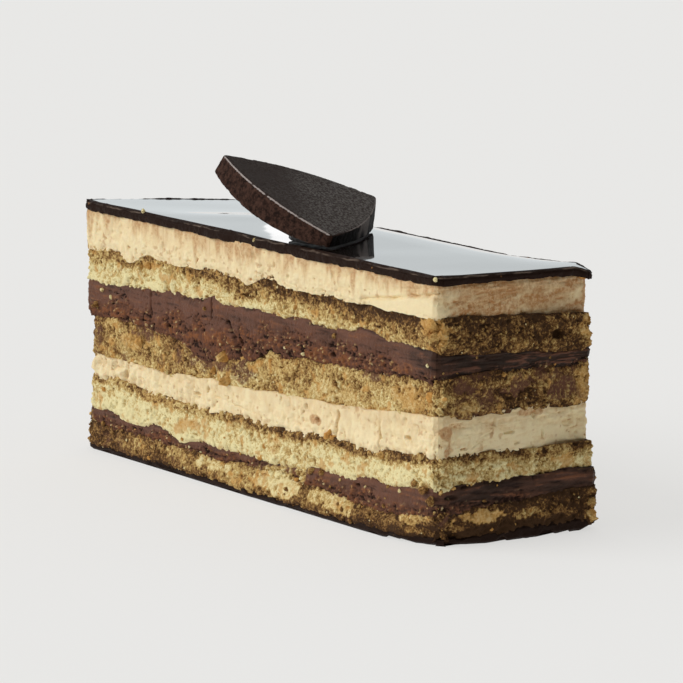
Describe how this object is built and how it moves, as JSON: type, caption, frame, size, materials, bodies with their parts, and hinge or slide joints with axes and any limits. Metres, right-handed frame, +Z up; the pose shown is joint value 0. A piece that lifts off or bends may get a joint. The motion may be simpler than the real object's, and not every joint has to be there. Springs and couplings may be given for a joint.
{
  "type": "opera cake slice",
  "caption": "Rectangular slice of layered coffee and chocolate sponge cake with a mirror chocolate glaze and a propped chocolate fan on top.",
  "frame": {"origin": "centre of the slice's flat underside", "axes": "+Z up; +X along the long side towards the right end; the long cut side that shows is towards -Y"},
  "size_m": [0.111, 0.0373, 0.0595],
  "materials": {
    "glaze": "mirror-smooth dark chocolate glaze",
    "buttercream": "satin coffee buttercream with fine knife marks",
    "pale_sponge": "open matte almond sponge crumb",
    "soaked_sponge": "damp brown sponge crumb soaked with coffee",
    "ganache": "satin dark chocolate ganache",
    "chocolate": "semi-gloss tempered dark chocolate with a faint bloom"
  },
  "bodies": {
    "root": {"glaze": "glaze", "buttercream_upper": "buttercream", "sponge_1": "pale_sponge", "ganache_upper": "ganache", "sponge_2": "soaked_sponge", "buttercream_lower": "buttercream", "sponge_3": "pale_sponge", "ganache_lower": "ganache", "sponge_4": "soaked_sponge", "base_chocolate": "chocolate", "chocolate_fan": "chocolate", "ganache_dab": "ganache"}
  },
  "joints": []
}
